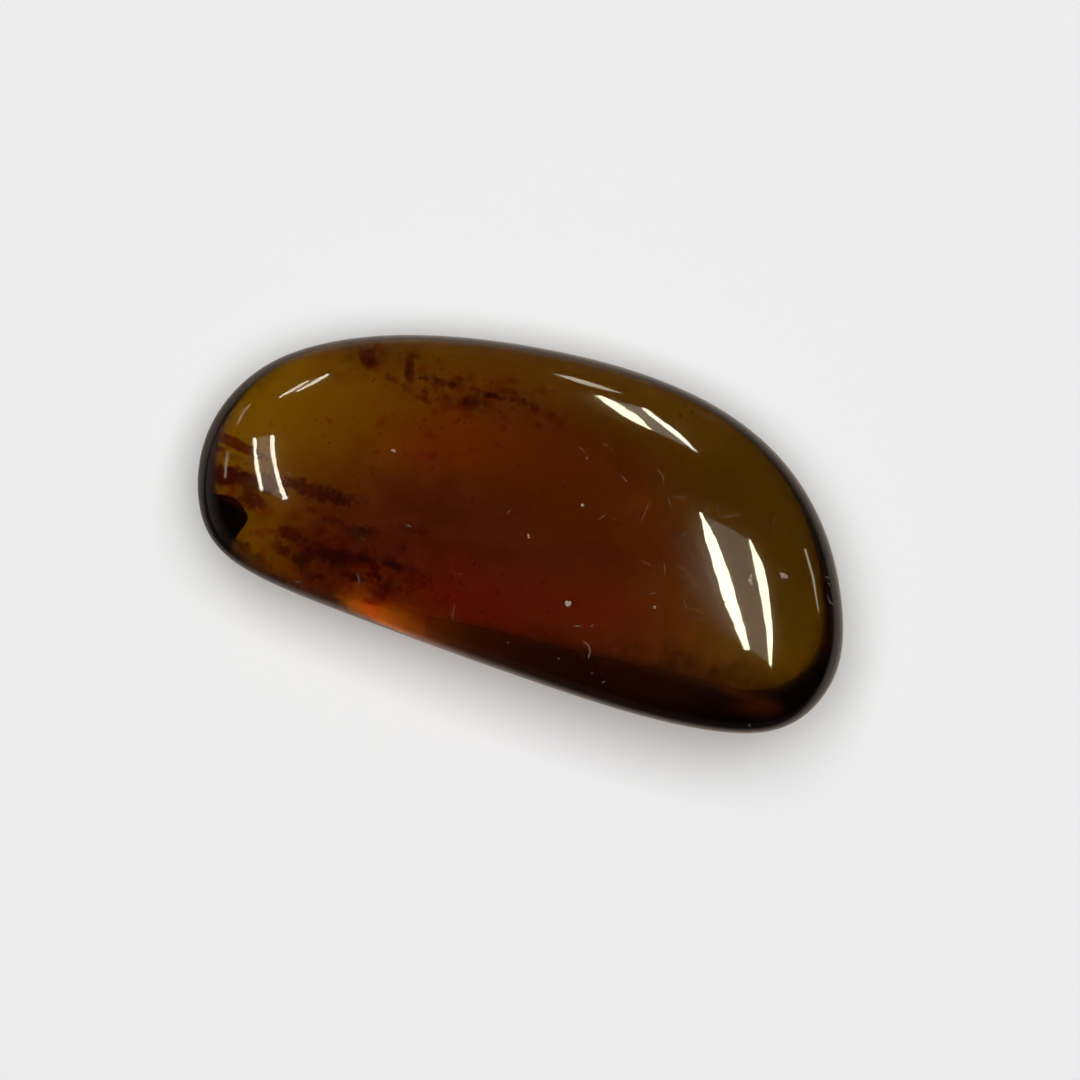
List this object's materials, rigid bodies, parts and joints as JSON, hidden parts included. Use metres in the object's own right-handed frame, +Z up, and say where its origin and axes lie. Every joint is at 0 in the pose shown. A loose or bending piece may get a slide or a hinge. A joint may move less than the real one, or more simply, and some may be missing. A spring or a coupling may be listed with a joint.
{
  "type": "polished blue amber stone",
  "caption": "Polished domed freeform of clear brown amber with fine red-brown debris and a dark bark fragment in one end, resting on a small flat spot.",
  "frame": {"origin": "on the flat resting spot, under the middle of the stone's box", "axes": "+X along the stone, +Y across it, +Z up out of the dome"},
  "size_m": [0.042, 0.0204, 0.0126],
  "materials": {
    "amber": "polished clear amber, olive where thin and red-brown where thick",
    "bark": "near-black fossil bark, satin where it is polished flush",
    "debris": "fine red-brown plant dust inside the amber"
  },
  "bodies": {
    "root": {"amber": "amber", "bark_fragment": "bark"}
  },
  "joints": []
}
